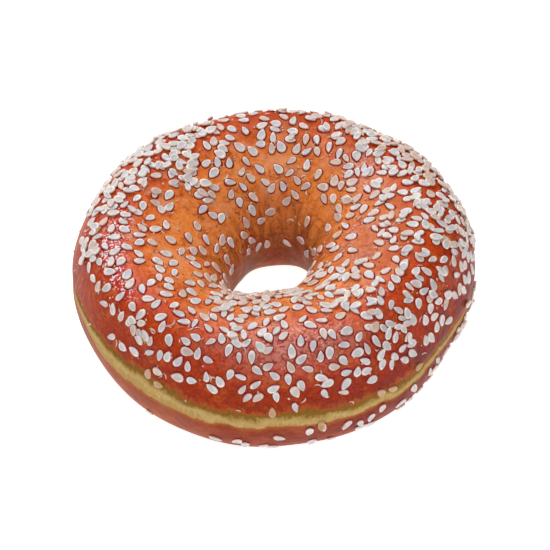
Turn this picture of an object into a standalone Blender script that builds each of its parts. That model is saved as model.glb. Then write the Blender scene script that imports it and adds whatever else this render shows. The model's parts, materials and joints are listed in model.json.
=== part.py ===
"""A glazed lye bagel topped with sesame, resting on its flat base.

Metres, +Z up. The origin is the middle of the base: the ring lies round the Z axis on the XY plane.
The crust is one soft ring with a funnel-shaped hole, a flat base and a shallow groove round its side.
Sesame seeds are half sunk in the crust and fused to it, so the whole bagel is a single solid.
"""

import math
import random

import bmesh
import bpy
from mathutils import Matrix, Vector

# --- Driving dimensions of the crust ---------------------------------------------------------
OUTER_RADIUS = 0.0524  # mean radius of the ring at its widest
HOLE_RADIUS = 0.0122  # mean radius of the hole at its narrowest
RING_HEIGHT = 0.0396  # mean height of the ring's crest above the base
WAIST_SHARE = 0.52  # height of the widest place, as a share of the ring's height
DOME_SQUARENESS = 1.84  # roundness of the upper half's section: 2 is an ellipse
BASE_SQUARENESS = 2.43  # fuller corners than an ellipse, towards the flat base
BASE_CUT = 1.05  # the lower half reaches this many times the waist's height down and is cut flat
CREST_SHIFT = 0.19  # how far the crest lies outside the section's middle, as a share of its width

# --- How far the real ring strays from a true one: waves round it, cosine share, sine share --------
OUTER_WAVES = (
    (2, 0.0200, 0.0025),
    (3, 0.0023, 0.0127),
    (4, 0.0075, 0.0045),
    (5, -0.0030, 0.0034),
    (6, 0.0035, -0.0015),
    (7, 0.0015, 0.0000),
)
HOLE_WAVES = ((2, -0.130, 0.148), (3, -0.002, -0.047))
HEIGHT_WAVES = ((1, 0.026, 0.004), (2, 0.001, -0.002), (3, 0.002, 0.000))
OUTER_SHIFT = Vector((-0.00034, 0.00008, 0.0))  # brings the middle of the outline over the origin
HOLE_SHIFT = Vector((-0.0005, -0.0001, 0.0))

# --- Low swells left by shaping the dough: depth, waves round the ring, waves round the section ---
SWELLS = ((0.00030, 5, 1, 0.4), (0.00025, 7, 2, 1.9), (0.00015, 11, 3, 4.1))

# --- The stretched groove round the side, where the crust opened in the oven ---------------------
GROOVE_DEPTH = 0.0004
GROOVE_HALF_WIDTH = 0.0024
GROOVE_HEIGHT = 0.0191
GROOVE_SWAY = 0.0007  # it lies this much higher on the left, -X, and lower on the right

# --- Faces of the crust ------------------------------------------------------------------------
RING_STEPS = 54
SECTION_STEPS = 30
WAIST_CROWDING = 0.30  # draws the section's steps together at the groove

# --- Sesame ------------------------------------------------------------------------------------
SEED_LENGTH = 0.0033
SEED_WIDTH = 0.62  # of the length
SEED_THICKNESS = 0.00085
SEED_SIZE_SPREAD = 0.12  # a seed's length strays this share from the mean
SEED_POINTEDNESS = 0.30  # how much narrower the tip is than the round end
SEED_SIDES = 6
SEED_RINGS = 3
SEED_TILT = math.radians(7.0)
SEED_RISE = 0.16  # the seed's middle stands this share of its thickness above the crust
SEED_COUNT = 205
SEED_SPACING = 0.0052
RANDOM_SEED = 12

# --- Where the sesame sticks ---------------------------------------------------------------------
TOP_EDGE = math.radians(10.0)  # section angle, 0 at the outer side and 90 degrees at the crest
TOP_FULL = math.radians(38.0)
BARE_SIDE = math.radians(188.0)  # ring angle where the seeds start highest
BARE_LIFT = math.radians(20.0)  # how much higher they start there
HOLE_FULL = math.radians(114.0)
HOLE_EDGE = math.radians(188.0)
DEEP_CHANCE = 0.08
SIDE_CHANCE = 0.10  # under the groove, where most seeds stick
SIDE_MIDDLE = math.radians(303.0)  # ring angle where most stick under the groove
SIDE_LOWEST = 0.006  # no seed lies lower than this on the side
SIDE_HIGHEST = 0.0155  # nor higher, up to the groove
THICK_SIDE = math.radians(35.0)  # ring angle where the sesame fell thickest
THICK_GAIN = 0.30

CRUST_COLOUR = (0.515, 0.110, 0.040, 1.0)
CRUST_ROUGHNESS = 0.28


def waved(value, waves, ring):
    """The value at this angle round the ring, with the ring's uneven waves in it."""
    share = sum(c * math.cos(n * ring) + s * math.sin(n * ring) for n, c, s in waves)
    return value * (1.0 + share)


def squared(share, squareness):
    """A sine or cosine made that of a superellipse."""
    return math.copysign(abs(share) ** (2.0 / squareness), share)


def smooth(low, high, value):
    """0 below low, 1 above high, and an even rise between them."""
    share = min(max((value - low) / (high - low), 0.0), 1.0)
    return share * share * (3.0 - 2.0 * share)


def crust_point(ring, section):
    """The crust's surface at an angle round the ring and an angle round its section."""
    across, rise = math.cos(section), math.sin(section)
    height = waved(RING_HEIGHT, HEIGHT_WAVES, ring)
    waist = WAIST_SHARE * height
    if rise >= 0.0:
        across = squared(across, DOME_SQUARENESS)
        z = waist + (height - waist) * squared(rise, DOME_SQUARENESS)
        across += CREST_SHIFT * 2.0 * (1.0 - across * across) * rise
    else:
        across = squared(across, BASE_SQUARENESS)
        z = waist * (1.0 + BASE_CUT * squared(rise, BASE_SQUARENESS))
    outward = Vector((math.cos(ring), math.sin(ring), 0.0))
    outer = outward * waved(OUTER_RADIUS, OUTER_WAVES, ring) + OUTER_SHIFT
    inner = outward * waved(HOLE_RADIUS, HOLE_WAVES, ring) + HOLE_SHIFT
    point = inner.lerp(outer, (1.0 + across) / 2.0)
    swell = sum(d * math.sin(n * ring + m * section + start) for d, n, m, start in SWELLS)
    point += outward * swell * across
    z += swell * max(rise, 0.0)
    if across > 0.0:
        off = (z - GROOVE_HEIGHT + GROOVE_SWAY * math.cos(ring)) / GROOVE_HALF_WIDTH
        point -= outward * GROOVE_DEPTH * math.exp(-off * off)
    point.z = max(z, 0.0)
    return point


def crust_frame(ring, section):
    """The surface's point, its direction round the ring, and its outward normal."""
    step = 0.01
    point = crust_point(ring, section)
    along = crust_point(ring + step, section) - crust_point(ring - step, section)
    up = crust_point(ring, section + step) - crust_point(ring, section - step)
    return point, along.normalized(), along.cross(up).normalized(), along.cross(up).length


def make_material(name, colour, roughness):
    material = bpy.data.materials.new(name)
    material.use_nodes = True
    shader = material.node_tree.nodes["Principled BSDF"]
    shader.inputs["Base Color"].default_value = colour
    shader.inputs["Roughness"].default_value = roughness
    shader.inputs["Metallic"].default_value = 0.0
    return material


def clear_scene():
    for thing in list(bpy.data.objects):
        bpy.data.objects.remove(thing)


def make_collection(name):
    collection = bpy.data.collections.new(name)
    bpy.context.scene.collection.children.link(collection)
    return collection


def move_to(thing, collection):
    for held_by in list(thing.users_collection):
        held_by.objects.unlink(thing)
    collection.objects.link(thing)


def make_crust(collection):
    """A torus whose points are moved onto the bagel's own section and outline."""
    ring_radius = (OUTER_RADIUS + HOLE_RADIUS) / 2.0
    bpy.ops.mesh.primitive_torus_add(
        major_segments=RING_STEPS,
        minor_segments=SECTION_STEPS,
        major_radius=ring_radius,
        minor_radius=(OUTER_RADIUS - HOLE_RADIUS) / 2.0,
    )
    crust = bpy.context.object
    crust.name = crust.data.name = "bagel"
    for vertex in crust.data.vertices:
        ring = math.atan2(vertex.co.y, vertex.co.x)
        section = math.atan2(vertex.co.z, math.hypot(vertex.co.x, vertex.co.y) - ring_radius)
        vertex.co = crust_point(ring, section - WAIST_CROWDING * math.sin(section))
    move_to(crust, collection)
    return crust


def make_seed():
    """One sesame seed along X: round at one end, drawn to a blunt tip at the other."""
    bpy.ops.mesh.primitive_uv_sphere_add(segments=SEED_SIDES, ring_count=SEED_RINGS, radius=1.0)
    seed = bpy.context.object
    for vertex in seed.data.vertices:
        narrowing = 1.0 - SEED_POINTEDNESS * vertex.co.x
        vertex.co.x *= 0.5
        vertex.co.y *= 0.5 * SEED_WIDTH * narrowing
        vertex.co.z *= 0.5
    return seed


def seed_chance(ring, section, z):
    """How likely a seed is to stick here, from 0 to 1."""
    section %= 2.0 * math.pi
    if section > math.radians(270.0):
        facing = smooth(0.1, 0.95, math.cos(ring - SIDE_MIDDLE))
        return SIDE_CHANCE * facing if SIDE_LOWEST < z < SIDE_HIGHEST else 0.0
    lift = BARE_LIFT * max(math.cos(ring - BARE_SIDE), 0.0) ** 4
    on_top = smooth(TOP_EDGE + lift, TOP_FULL + lift, section)
    down_hole = smooth(HOLE_FULL, HOLE_EDGE, section)
    chance = on_top * (1.0 - down_hole * (1.0 - DEEP_CHANCE))
    thickness = 1.0 + THICK_GAIN * math.cos(ring - THICK_SIDE)
    return 0.0 if section > HOLE_EDGE else chance * thickness / (1.0 + THICK_GAIN)


def scatter(count, spacing, draw, places):
    """Adds seed places to the list, at least the spacing apart, thickest where they stick best."""
    largest_patch = max(crust_frame(0.0, math.radians(s))[3] for s in range(0, 360, 5)) * 1.1
    wanted = len(places) + count
    while len(places) < wanted:
        ring = draw.uniform(0.0, 2.0 * math.pi)
        section = draw.uniform(-math.pi / 2.0, HOLE_EDGE)
        luck = draw.random()
        point, along, normal, patch = crust_frame(ring, section)
        if luck > seed_chance(ring, section, point.z) * patch / largest_patch:
            continue
        if any((point - place[0]).length < spacing for place in places):
            continue
        places.append((point, along, normal, draw.random(), draw.random(), draw.random(), draw.random()))


def seed_matrix(place):
    """Lays a seed of unit length on the crust, turned, tilted and sized by its four draws."""
    point, along, normal, turn, tip, roll, size = place
    length = SEED_LENGTH * (1.0 + SEED_SIZE_SPREAD * (2.0 * size - 1.0))
    across = normal.cross(along)
    frame = Matrix((along, across, normal)).transposed().to_4x4()
    turned = Matrix.Rotation(2.0 * math.pi * turn, 4, "Z")
    tipped = Matrix.Rotation(SEED_TILT * (2.0 * tip - 1.0), 4, "Y")
    rolled = Matrix.Rotation(SEED_TILT * (2.0 * roll - 1.0), 4, "X")
    lifted = Matrix.Translation(point + normal * SEED_RISE * SEED_THICKNESS)
    sized = Matrix.Diagonal((length, length, SEED_THICKNESS, 1.0))
    return lifted @ frame @ turned @ tipped @ rolled @ sized


def make_seeds(collection):
    draw = random.Random(RANDOM_SEED)
    places = []
    scatter(SEED_COUNT, SEED_SPACING, draw, places)
    pattern = make_seed()
    for number, place in enumerate(places):
        seed = bpy.data.objects.new(f"seed_{number:03d}", pattern.data.copy())
        seed.data.transform(seed_matrix(place))
        collection.objects.link(seed)
    bpy.data.objects.remove(pattern)


def fuse(crust, collection):
    """Joins every seed to the crust by one Boolean union, and removes the loose seeds."""
    union = crust.modifiers.new("fuse sesame", "BOOLEAN")
    union.operation = "UNION"
    union.operand_type = "COLLECTION"
    union.collection = collection
    union.solver = "MANIFOLD"
    bpy.context.view_layer.objects.active = crust
    bpy.ops.object.modifier_apply(modifier=union.name)
    for seed in list(collection.objects):
        bpy.data.objects.remove(seed)
    bpy.data.collections.remove(collection)


def keep_largest_body(thing):
    """Fills any hollow that fusing sealed and drops any loose scrap: only the main surface stays."""
    mesh = bmesh.new()
    mesh.from_mesh(thing.data)
    unseen = set(mesh.verts)
    bodies = []
    while unseen:
        body, edge = set(), [unseen.pop()]
        while edge:
            vertex = edge.pop()
            body.add(vertex)
            near = [link.other_vert(vertex) for link in vertex.link_edges]
            fresh = [other for other in near if other in unseen]
            unseen.difference_update(fresh)
            edge.extend(fresh)
        bodies.append(body)
    bodies.sort(key=len)
    loose = [vertex for body in bodies[:-1] for vertex in body]
    bmesh.ops.delete(mesh, geom=loose, context="VERTS")
    mesh.to_mesh(thing.data)
    mesh.free()


def main():
    clear_scene()
    bagel = make_collection("sesame_bagel")
    seeds = make_collection("sesame")
    crust = make_crust(bagel)
    make_seeds(seeds)
    fuse(crust, seeds)
    keep_largest_body(crust)
    crust.data.materials.clear()
    crust.data.materials.append(make_material("glazed_crust", CRUST_COLOUR, CRUST_ROUGHNESS))
    crust.data.shade_smooth()
    crust.data.set_sharp_from_angle(angle=math.radians(35.0))


main()
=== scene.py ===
"""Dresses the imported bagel: glazed crust with its pale stretched band, sesame, hulls and a light table."""

import itertools
import json
import math
import random

import bpy
import numpy as np
from bpy.props import FloatProperty, FloatVectorProperty, IntProperty, PointerProperty
from mathutils import Matrix, Vector

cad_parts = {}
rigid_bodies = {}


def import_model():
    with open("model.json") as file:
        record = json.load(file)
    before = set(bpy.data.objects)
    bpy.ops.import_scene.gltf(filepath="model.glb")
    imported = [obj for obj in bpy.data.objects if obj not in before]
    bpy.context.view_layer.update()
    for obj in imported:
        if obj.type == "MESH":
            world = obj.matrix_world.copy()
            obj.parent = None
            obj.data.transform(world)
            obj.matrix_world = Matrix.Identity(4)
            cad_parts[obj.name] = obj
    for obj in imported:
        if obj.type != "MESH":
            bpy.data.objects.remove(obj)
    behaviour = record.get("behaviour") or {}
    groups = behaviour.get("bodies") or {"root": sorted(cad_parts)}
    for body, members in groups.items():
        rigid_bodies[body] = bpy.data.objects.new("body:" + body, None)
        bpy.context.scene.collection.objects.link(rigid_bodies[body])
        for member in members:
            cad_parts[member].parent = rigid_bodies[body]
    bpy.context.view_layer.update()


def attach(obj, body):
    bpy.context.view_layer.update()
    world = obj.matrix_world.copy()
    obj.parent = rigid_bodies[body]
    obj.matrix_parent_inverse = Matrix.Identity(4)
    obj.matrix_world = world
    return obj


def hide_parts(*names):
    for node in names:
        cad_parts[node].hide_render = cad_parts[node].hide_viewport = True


bl_info = {
    "name": "Sesame Pretzel Bagel",
    "version": (1, 0, 0),
    "blender": (4, 5, 0),
    "location": "View3D > Sidebar > Bagel",
    "description": "Bakes a glazed lye bagel, sprinkles it with sesame and lights it on a light table",
    "category": "Add Mesh",
}

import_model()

# --- The ring's form, in metres: waves round it are (count, cosine share, sine share) -------------
DOME_SQUARENESS = 1.84  # roundness of the upper half's section: 2 is an ellipse
BASE_SQUARENESS = 2.43
BASE_CUT = 1.05  # the lower half reaches this many waist heights down and is cut flat
CREST_SHIFT = 0.19
OUTER_WAVES = (
    (2, 0.0200, 0.0025),
    (3, 0.0023, 0.0127),
    (4, 0.0075, 0.0045),
    (5, -0.0030, 0.0034),
    (6, 0.0035, -0.0015),
    (7, 0.0015, 0.0000),
)
HOLE_WAVES = ((2, -0.130, 0.148), (3, -0.002, -0.047))
HEIGHT_WAVES = ((1, 0.026, 0.004), (2, 0.001, -0.002), (3, 0.002, 0.000))
OUTER_SHIFT = Vector((-0.00034, 0.00008, 0.0))
HOLE_SHIFT = Vector((-0.0005, -0.0001, 0.0))
SWELLS = ((0.00030, 5, 1, 0.4), (0.00025, 7, 2, 1.9), (0.00015, 11, 3, 4.1))
GROOVE_DEPTH = 0.0004
GROOVE_HALF_WIDTH = 0.0024
GROOVE_HEIGHT = 0.0191
GROOVE_SWAY = 0.0007
WAIST_CROWDING = 0.30
CRUST_RING_STEPS = 380
CRUST_SECTION_STEPS = 230

# --- Sesame -----------------------------------------------------------------------------------------
SEED_WIDTH = 0.62  # of the length
SEED_THICKNESS = 0.00085
SEED_SIZE_SPREAD = 0.12
SEED_WIDTH_SPREAD = 0.14
SEED_POINTEDNESS = 0.30
SEED_PROFILE = (  # from the middle of the face, over the rim to the middle underneath: reach and height
    (0.0, 0.33), (0.67, 0.35), (0.91, 0.42), (1.0, 0.06), (0.88, -0.40), (0.0, -0.5),
)
SEED_SIDES = 12
SEED_TILT = math.radians(7.0)
SEED_RISE = 0.16
SPREAD_COUNT = 205  # the widely spaced seeds that the solid holds too
SPREAD_SPACING = 0.0052
RANDOM_SEED = 12
TOP_EDGE = math.radians(10.0)
TOP_FULL = math.radians(38.0)
BARE_SIDE = math.radians(188.0)
BARE_LIFT = math.radians(20.0)
HOLE_FULL = math.radians(114.0)
HOLE_EDGE = math.radians(188.0)
DEEP_CHANCE = 0.08
SIDE_CHANCE = 0.10
CLOSE_SIDE_CHANCE = 0.05  # of the seeds sprinkled last
SIDE_MIDDLE = math.radians(303.0)
SIDE_LOWEST = 0.006
SIDE_HIGHEST = 0.0155
THICK_SIDE = math.radians(35.0)
THICK_GAIN = 0.30


def paint(red, green, blue):
    """A colour as seen on a screen, 0 to 255, made linear."""
    shares = [value / 255.0 for value in (red, green, blue)]
    return tuple(s / 12.92 if s <= 0.04045 else ((s + 0.055) / 1.055) ** 2.4 for s in shares)


def colour_property(name, description, default):
    return FloatVectorProperty(
        name=name, description=description, subtype="COLOR", size=3, min=0.0, max=1.0, default=default
    )


class BAGEL_PG_sizes(bpy.types.PropertyGroup):
    """The bagel's driving sizes"""

    outer_radius: FloatProperty(
        name="Outer radius", description="Mean radius of the ring at its widest",
        default=0.0524, unit="LENGTH",
    )
    hole_radius: FloatProperty(
        name="Hole radius", description="Mean radius of the hole at its narrowest",
        default=0.0122, unit="LENGTH",
    )
    ring_height: FloatProperty(
        name="Ring height", description="Mean height of the crest above the base",
        default=0.0396, unit="LENGTH",
    )
    waist_share: FloatProperty(
        name="Waist", description="Height of the widest place, as a share of the ring's height",
        default=0.52, subtype="FACTOR",
    )
    seed_length: FloatProperty(
        name="Seed length", description="Mean length of a sesame seed", default=0.0033, unit="LENGTH",
    )
    seed_count: IntProperty(
        name="Seeds", description="How many seeds lie flat on the crust", default=787,
    )


class BAGEL_PG_colours(bpy.types.PropertyGroup):
    """The bagel's colours"""

    crust_side: colour_property("Side", "Glazed crust just above the band", paint(148, 38, 8))
    crust_crest: colour_property("Crest", "Glazed crust on the crest", paint(212, 74, 18))
    crust_inner: colour_property("Inner slope", "Glazed crust towards the hole", paint(236, 134, 60))
    crust_hole: colour_property("Hole", "Thinly browned crust in the hole", paint(220, 131, 67))
    crust_lower: colour_property("Lower crust", "Crust under the band", paint(150, 60, 34))
    crust_base: colour_property("Underside", "Dry crust that lay on the tray", paint(150, 92, 60))
    # the band's own colours: its dark upper half is partly painted shade under the crust's lip, its pale
    # lower half partly painted light
    band_light: colour_property("Band, light", "Lower half of the stretched band", paint(192, 158, 94))
    band_dark: colour_property("Band, dark", "Upper half of the stretched band", paint(136, 98, 34))
    band_rim: colour_property("Band, rim", "Browned edges of the stretched band", paint(180, 94, 42))
    seed_face: colour_property("Seed face", "Middle of a sesame seed", paint(206, 205, 211))
    seed_rim: colour_property("Seed rim", "Edge of a sesame seed", paint(255, 240, 228))
    seed_toast: colour_property("Toasted seed", "Seed browned in the oven", paint(218, 178, 152))


class BAGEL_PG_stage(bpy.types.PropertyGroup):
    """The light table, the lamps and the camera"""

    table_glow: FloatProperty(
        name="Table glow", description="Strength of the light table's own light", default=0.90,
    )
    sky: FloatProperty(name="Sky", description="Strength of the white surroundings", default=0.12)
    back_light: FloatProperty(
        name="Back light", description="Power of the large lamp behind the bagel",
        default=5.8, unit="POWER",
    )
    front_light: FloatProperty(
        name="Front light", description="Power of the soft lamp in front", default=6.9, unit="POWER",
    )
    camera_height: FloatProperty(
        name="Camera height", description="Angle of the camera above the table",
        default=math.radians(45.753), unit="ROTATION",
    )
    camera_distance: FloatProperty(
        name="Camera distance", description="From the camera to the bagel's middle",
        default=0.700, unit="LENGTH",
    )


# --- The ring's surface ------------------------------------------------------------------------------


def waved(value, waves, ring):
    share = sum(c * math.cos(n * ring) + s * math.sin(n * ring) for n, c, s in waves)
    return value * (1.0 + share)


def squared(share, squareness):
    return math.copysign(abs(share) ** (2.0 / squareness), share)


def smooth(low, high, value):
    share = min(max((value - low) / (high - low), 0.0), 1.0)
    return share * share * (3.0 - 2.0 * share)


def bell(off, width):
    """1 at the middle, falling to a third of it at the width."""
    share = off / width
    return math.exp(-share * share)


def ring_bell(ring, middle, width):
    """A bell round the ring, with its middle and its width in degrees."""
    return bell(math.remainder(ring - math.radians(middle), 2.0 * math.pi), math.radians(width))


def zone_sum(zones, ring, section):
    """How strongly the zones reach here: each has its angles, its reaches in degrees and its strength."""
    total = 0.0
    for middle, height, wide, tall, strength in zones:
        near = ring_bell(ring, middle, wide) * bell(section - math.radians(height), math.radians(tall))
        total += strength * near
    return total


class Crust:
    """Where the crust's surface lies, at an angle round the ring and an angle round its section."""

    def __init__(self, sizes):
        self.outer_radius = sizes.outer_radius
        self.hole_radius = sizes.hole_radius
        self.ring_height = sizes.ring_height
        self.waist_share = sizes.waist_share

    def band_height(self, ring):
        return GROOVE_HEIGHT - GROOVE_SWAY * math.cos(ring)

    def point(self, ring, section):
        across, rise = math.cos(section), math.sin(section)
        height = waved(self.ring_height, HEIGHT_WAVES, ring)
        waist = self.waist_share * height
        if rise >= 0.0:
            across = squared(across, DOME_SQUARENESS)
            z = waist + (height - waist) * squared(rise, DOME_SQUARENESS)
            across += CREST_SHIFT * 2.0 * (1.0 - across * across) * rise
        else:
            across = squared(across, BASE_SQUARENESS)
            z = waist * (1.0 + BASE_CUT * squared(rise, BASE_SQUARENESS))
        outward = Vector((math.cos(ring), math.sin(ring), 0.0))
        outer = outward * waved(self.outer_radius, OUTER_WAVES, ring) + OUTER_SHIFT
        inner = outward * waved(self.hole_radius, HOLE_WAVES, ring) + HOLE_SHIFT
        place = inner.lerp(outer, (1.0 + across) / 2.0)
        swell = sum(d * math.sin(n * ring + m * section + start) for d, n, m, start in SWELLS)
        place += outward * swell * across
        z += swell * max(rise, 0.0)
        if across > 0.0:
            off = (z - self.band_height(ring)) / GROOVE_HALF_WIDTH
            place -= outward * GROOVE_DEPTH * math.exp(-off * off)
        place.z = max(z, 0.0)
        return place

    def frame(self, ring, section):
        """The point, its direction round the ring, its outward normal and the size of its patch."""
        step = 0.01
        place = self.point(ring, section)
        along = self.point(ring + step, section) - self.point(ring - step, section)
        up = self.point(ring, section + step) - self.point(ring, section - step)
        normal = along.cross(up)
        return place, along.normalized(), normal.normalized(), normal.length


# --- Modelling helpers -------------------------------------------------------------------------------


def let_go():
    """Leaves nothing selected."""
    for other in bpy.context.view_layer.objects:
        other.select_set(False)


def keep_number(mesh, name, values):
    """Stores one number for each point, for the finish to read."""
    numbers = mesh.attributes.new(name, "FLOAT", "POINT")
    numbers.data.foreach_set("value", np.asarray(values, dtype=np.float32))


def hand_over(piece):
    """Smooth-shades a finished piece and ties it to the bagel's body."""
    let_go()
    piece.select_set(True)
    bpy.context.view_layer.objects.active = piece
    bpy.ops.object.shade_smooth()
    let_go()
    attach(piece, "root")


class Finish:
    """One procedural material, built node by node."""

    def __init__(self, name):
        self.material = bpy.data.materials.new(name)
        self.material.use_nodes = True
        self.nodes = self.material.node_tree.nodes
        self.shader = self.nodes["Principled BSDF"]
        self.place = self.add("ShaderNodeTexCoord").outputs["Object"]

    def add(self, kind, **settings):
        node = self.nodes.new(kind)
        for key, value in settings.items():
            setattr(node, key, value)
        return node

    def feed(self, socket, value):
        """Links another node's output, or sets a plain value."""
        if isinstance(value, bpy.types.NodeSocket):
            self.material.node_tree.links.new(value, socket)
        elif socket.type == "RGBA" and len(value) == 3:
            socket.default_value = (*value, 1.0)
        else:
            socket.default_value = value

    def set(self, **values):
        for key, value in values.items():
            self.feed(self.shader.inputs[key.replace("_", " ")], value)

    def number(self, name):
        return self.add("ShaderNodeAttribute", attribute_name=name).outputs["Fac"]

    def maths(self, operation, first, second=0.0, offset=0.0):
        node = self.add("ShaderNodeMath", operation=operation)
        for socket, value in zip(node.inputs, (first, second, offset)):
            self.feed(socket, value)
        return node.outputs[0]

    def times(self, first, *others):
        """The product of all these values."""
        for other in others:
            first = self.maths("MULTIPLY", first, other)
        return first

    def fade(self, value, low, high, start=0.0, end=1.0):
        """An even change from start to end while the value goes from low to high."""
        node = self.add("ShaderNodeMapRange", interpolation_type="SMOOTHSTEP")
        for socket, number in zip(node.inputs, (value, low, high, start, end)):
            self.feed(socket, number)
        return node.outputs[0]

    def noise(self, size, detail=2.0, roughness=0.5, warp=0.0, place=None):
        """Soft noise whose blots are about this size in metres."""
        node = self.add("ShaderNodeTexNoise")
        self.feed(node.inputs["Vector"], place or self.place)
        self.feed(node.inputs["Scale"], 1.0 / size)
        self.feed(node.inputs["Detail"], detail)
        self.feed(node.inputs["Roughness"], roughness)
        self.feed(node.inputs["Distortion"], warp)
        return node.outputs["Fac"]

    def vectors(self, operation, first, second=(0.0, 0.0, 0.0)):
        node = self.add("ShaderNodeVectorMath", operation=operation)
        self.feed(node.inputs[0], first)
        self.feed(node.inputs[1], second)
        return node.outputs[0]

    def upright(self, radius, share):
        """The place on a drum round the Z axis, drawn out along it, so that patterns run up and down."""
        unit = self.vectors("NORMALIZE", self.vectors("MULTIPLY", self.place, (1.0, 1.0, 0.0)))
        drum = self.vectors("MULTIPLY", unit, (radius, radius, radius))
        return self.vectors("ADD", drum, self.vectors("MULTIPLY", self.place, (0.0, 0.0, share)))

    def ramp(self, value, *stops):
        """A colour that changes evenly from stop to stop; each stop is a place and a colour."""
        node = self.add("ShaderNodeValToRGB")
        band = node.color_ramp
        while len(band.elements) < len(stops):
            band.elements.new(0.5)
        for element, (place, colour) in zip(band.elements, stops):
            element.position = place
            element.color = (*colour, 1.0)
        self.feed(node.inputs[0], value)
        return node.outputs[0]

    def mix(self, share, first, second, blend="MIX"):
        node = self.add("ShaderNodeMix", data_type="RGBA", blend_type=blend)
        self.feed(node.inputs["Factor"], share)
        self.feed(node.inputs["A"], first)
        self.feed(node.inputs["B"], second)
        return node.outputs["Result"]

    def bump(self, height, depth, under=None):
        node = self.add("ShaderNodeBump")
        node.inputs["Strength"].default_value = 1.0
        node.inputs["Distance"].default_value = depth
        self.feed(node.inputs["Height"], height)
        if under:
            self.feed(node.inputs["Normal"], under)
        return node.outputs[0]


def tinted(colour, red, green, blue):
    """The colour with its three parts scaled, none of them above 1."""
    return tuple(min(value * factor, 1.0) for value, factor in zip(colour, (red, green, blue)))


def halfway(first, second):
    return tuple(0.5 * (a + b) for a, b in zip(first, second))


def grey(value):
    return (value, value, value)


# --- The crust -----------------------------------------------------------------------------------------

MOTTLE = paint(126, 28, 8)
PAINTED_PINK_SHEEN = paint(236, 146, 124)  # painted pink sheen where the glaze dried wrinkled
# painted shade in the troughs of the wrinkled glaze
FURROW_SHADE = paint(176, 40, 30)
CRIMSON = paint(186, 22, 44)  # painted deep red between the painted glints
# painted glint on the glaze
PAINTED_GLINT = paint(250, 226, 236)
THIN_GLAZE = paint(242, 168, 122)
# browner, darker crust, partly the oven's colour and partly painted shade
OVEN_BROWN_AND_SHADE = paint(176, 68, 20)
# painted mauve shade
PAINTED_MAUVE_SHADE = paint(112, 56, 56)
# painted pale streak of sheen
PAINTED_SHEEN_STREAK = paint(206, 138, 130)
LOWER_PALE = paint(172, 84, 52)
LOWER_DARK = paint(128, 54, 44)
LOWER_LEFT = paint(192, 112, 62)
# painted mauve shade on the lower crust
LOWER_MAUVE_SHADE = paint(96, 46, 48)


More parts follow.
